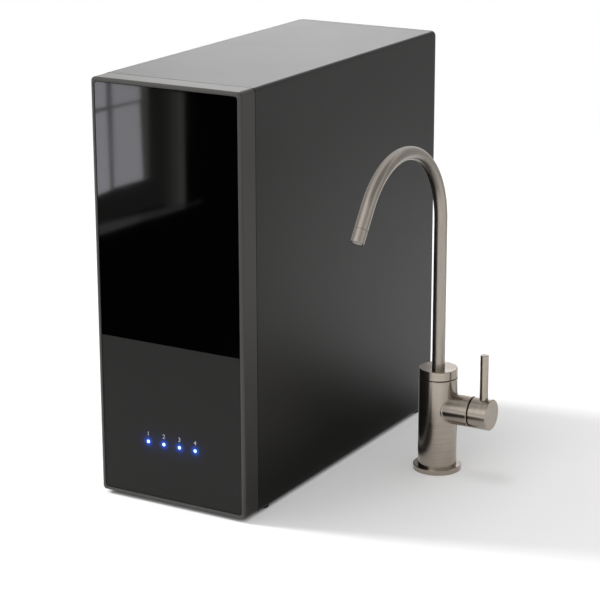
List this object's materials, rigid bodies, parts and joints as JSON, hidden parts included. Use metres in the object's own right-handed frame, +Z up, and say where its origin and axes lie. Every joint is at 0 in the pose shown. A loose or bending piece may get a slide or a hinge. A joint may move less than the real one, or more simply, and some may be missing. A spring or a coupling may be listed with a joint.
{
  "type": "water purifier",
  "caption": "Tall narrow under-sink water purifier with a pull-off glass front, twist-out filters and rear push-in ports, with its swivelling lever faucet beside it.",
  "frame": {"origin": "on the floor, in the middle of the footprint that the purifier and its faucet share", "axes": "+Z up, -Y towards the front panel and the spout's outlet, +X to the right as seen from the front, from the purifier to its faucet"},
  "size_m": [0.306, 0.388, 0.403],
  "materials": {
    "case_shell": "satin charcoal paint",
    "base_pan": "zinc plated steel",
    "feet": "matt rubber",
    "rear_panel": "fine satin moulding",
    "rear_screws": "zinc plated steel",
    "front_bulkhead": "white moulding",
    "display_board": "circuit board",
    "filter_shelf": "white moulding",
    "manifold": "white moulding",
    "pump_head": "white moulding",
    "motor_can": "zinc plated steel",
    "motor_bearings": "ground steel",
    "pump_bracket": "zinc plated steel",
    "pump_mounts": "matt rubber",
    "inlet_valve": "white moulding",
    "flush_valve": "white moulding",
    "flow_sensor": "blue moulding",
    "power_supply": "black moulding",
    "control_board": "circuit board",
    "feed_port": "black moulding",
    "drain_port": "black moulding",
    "pure_port": "black moulding",
    "cable_gland": "black moulding",
    "feed_riser": "white water tube",
    "pump_inlet_tube": "white water tube",
    "pump_outlet_tube": "white water tube",
    "drain_riser": "white water tube",
    "pure_riser": "white water tube",
    "front_bezel": "fine satin moulding",
    "glass_panel": "gloss black, back-printed glass",
    "display_panel": "satin dark grey",
    "cover_backplate": "matt black moulding",
    "indicator_lenses": "clear light pipes",
    "cover_studs": "white moulding",
    "membrane_cartridge": "white filter shell",
    "membrane_seals": "matt rubber",
    "carbon_cartridge": "white filter shell",
    "carbon_seals": "matt rubber",
    "polish_cartridge": "white filter shell",
    "polish_seals": "matt rubber",
    "motor_shaft": "zinc plated steel",
    "motor_armature": "wound copper and steel",
    "feed_collet": "white moulding",
    "drain_collet": "white moulding",
    "pure_collet": "white moulding",
    "faucet_body": "brushed warm gunmetal",
    "faucet_flange": "brushed warm gunmetal",
    "faucet_gasket": "matt rubber",
    "valve_cartridge": "white moulding",
    "valve_nut": "turned",
    "spout_tube": "brushed warm gunmetal",
    "swivel_collar": "brushed warm gunmetal",
    "spout_seals": "matt rubber",
    "aerator": "brushed warm gunmetal",
    "lever_hub": "brushed warm gunmetal",
    "lever_rod": "brushed warm gunmetal",
    "valve_spindle": "turned"
  },
  "bodies": {
    "housing": {"case_shell": "case_shell", "base_pan": "base_pan", "feet": "feet", "rear_panel": "rear_panel", "rear_screws": "rear_screws", "front_bulkhead": "front_bulkhead", "display_board": "display_board", "filter_shelf": "filter_shelf", "manifold": "manifold", "pump_head": "pump_head", "motor_can": "motor_can", "motor_bearings": "motor_bearings", "pump_bracket": "pump_bracket", "pump_mounts": "pump_mounts", "inlet_valve": "inlet_valve", "flush_valve": "flush_valve", "flow_sensor": "flow_sensor", "power_supply": "power_supply", "control_board": "control_board", "feed_port": "feed_port", "drain_port": "drain_port", "pure_port": "pure_port", "cable_gland": "cable_gland", "feed_riser": "feed_riser", "pump_inlet_tube": "pump_inlet_tube", "pump_outlet_tube": "pump_outlet_tube", "drain_riser": "drain_riser", "pure_riser": "pure_riser", "faucet_body": "faucet_body", "faucet_flange": "faucet_flange", "faucet_gasket": "faucet_gasket", "valve_cartridge": "valve_cartridge", "valve_nut": "valve_nut"},
    "front_cover": {"front_bezel": "front_bezel", "glass_panel": "glass_panel", "display_panel": "display_panel", "cover_backplate": "cover_backplate", "indicator_lenses": "indicator_lenses", "cover_studs": "cover_studs"},
    "membrane_filter": {"membrane_cartridge": "membrane_cartridge", "membrane_seals": "membrane_seals"},
    "carbon_filter": {"carbon_cartridge": "carbon_cartridge", "carbon_seals": "carbon_seals"},
    "polish_filter": {"polish_cartridge": "polish_cartridge", "polish_seals": "polish_seals"},
    "pump_rotor": {"motor_shaft": "motor_shaft", "motor_armature": "motor_armature"},
    "feed_release": {"feed_collet": "feed_collet"},
    "drain_release": {"drain_collet": "drain_collet"},
    "pure_release": {"pure_collet": "pure_collet"},
    "spout": {"spout_tube": "spout_tube", "swivel_collar": "swivel_collar", "spout_seals": "spout_seals", "aerator": "aerator"},
    "lever": {"lever_hub": "lever_hub", "lever_rod": "lever_rod", "valve_spindle": "valve_spindle"}
  },
  "joints": [
    {"name": "cover_pull", "type": "slide", "parent": "housing", "child": "front_cover", "axis": [0, -1, 0], "range_m": [0, 0.06]},
    {"name": "membrane_twist", "type": "hinge", "parent": "housing", "child": "membrane_filter", "pos_m": [-0.07285, -0.1612, 0.339], "axis": [0, -1, 0], "range_deg": [0, 90]},
    {"name": "carbon_twist", "type": "hinge", "parent": "housing", "child": "carbon_filter", "pos_m": [-0.10735, -0.1612, 0.241], "axis": [0, -1, 0], "range_deg": [0, 90]},
    {"name": "polish_twist", "type": "hinge", "parent": "housing", "child": "polish_filter", "pos_m": [-0.03835, -0.1612, 0.241], "axis": [0, -1, 0], "range_deg": [0, 90]},
    {"name": "pump_spin", "type": "hinge", "parent": "housing", "child": "pump_rotor", "pos_m": [-0.0985, -0.1322, 0.0585], "axis": [0, 1, 0], "continuous": true},
    {"name": "feed_release_press", "type": "slide", "parent": "housing", "child": "feed_release", "axis": [0, -1, 0], "range_m": [0, 0.0015]},
    {"name": "drain_release_press", "type": "slide", "parent": "housing", "child": "drain_release", "axis": [0, -1, 0], "range_m": [0, 0.0015]},
    {"name": "pure_release_press", "type": "slide", "parent": "housing", "child": "pure_release", "axis": [0, -1, 0], "range_m": [0, 0.0015]},
    {"name": "spout_swivel", "type": "hinge", "parent": "housing", "child": "spout", "pos_m": [0.095, 0.0244, 0.1], "axis": [0, 0, 1], "range_deg": [-25, 205]},
    {"name": "lever_turn", "type": "hinge", "parent": "housing", "child": "lever", "pos_m": [0.135, 0.0244, 0.0643], "axis": [1, 0, 0], "range_deg": [0, 90]}
  ]
}
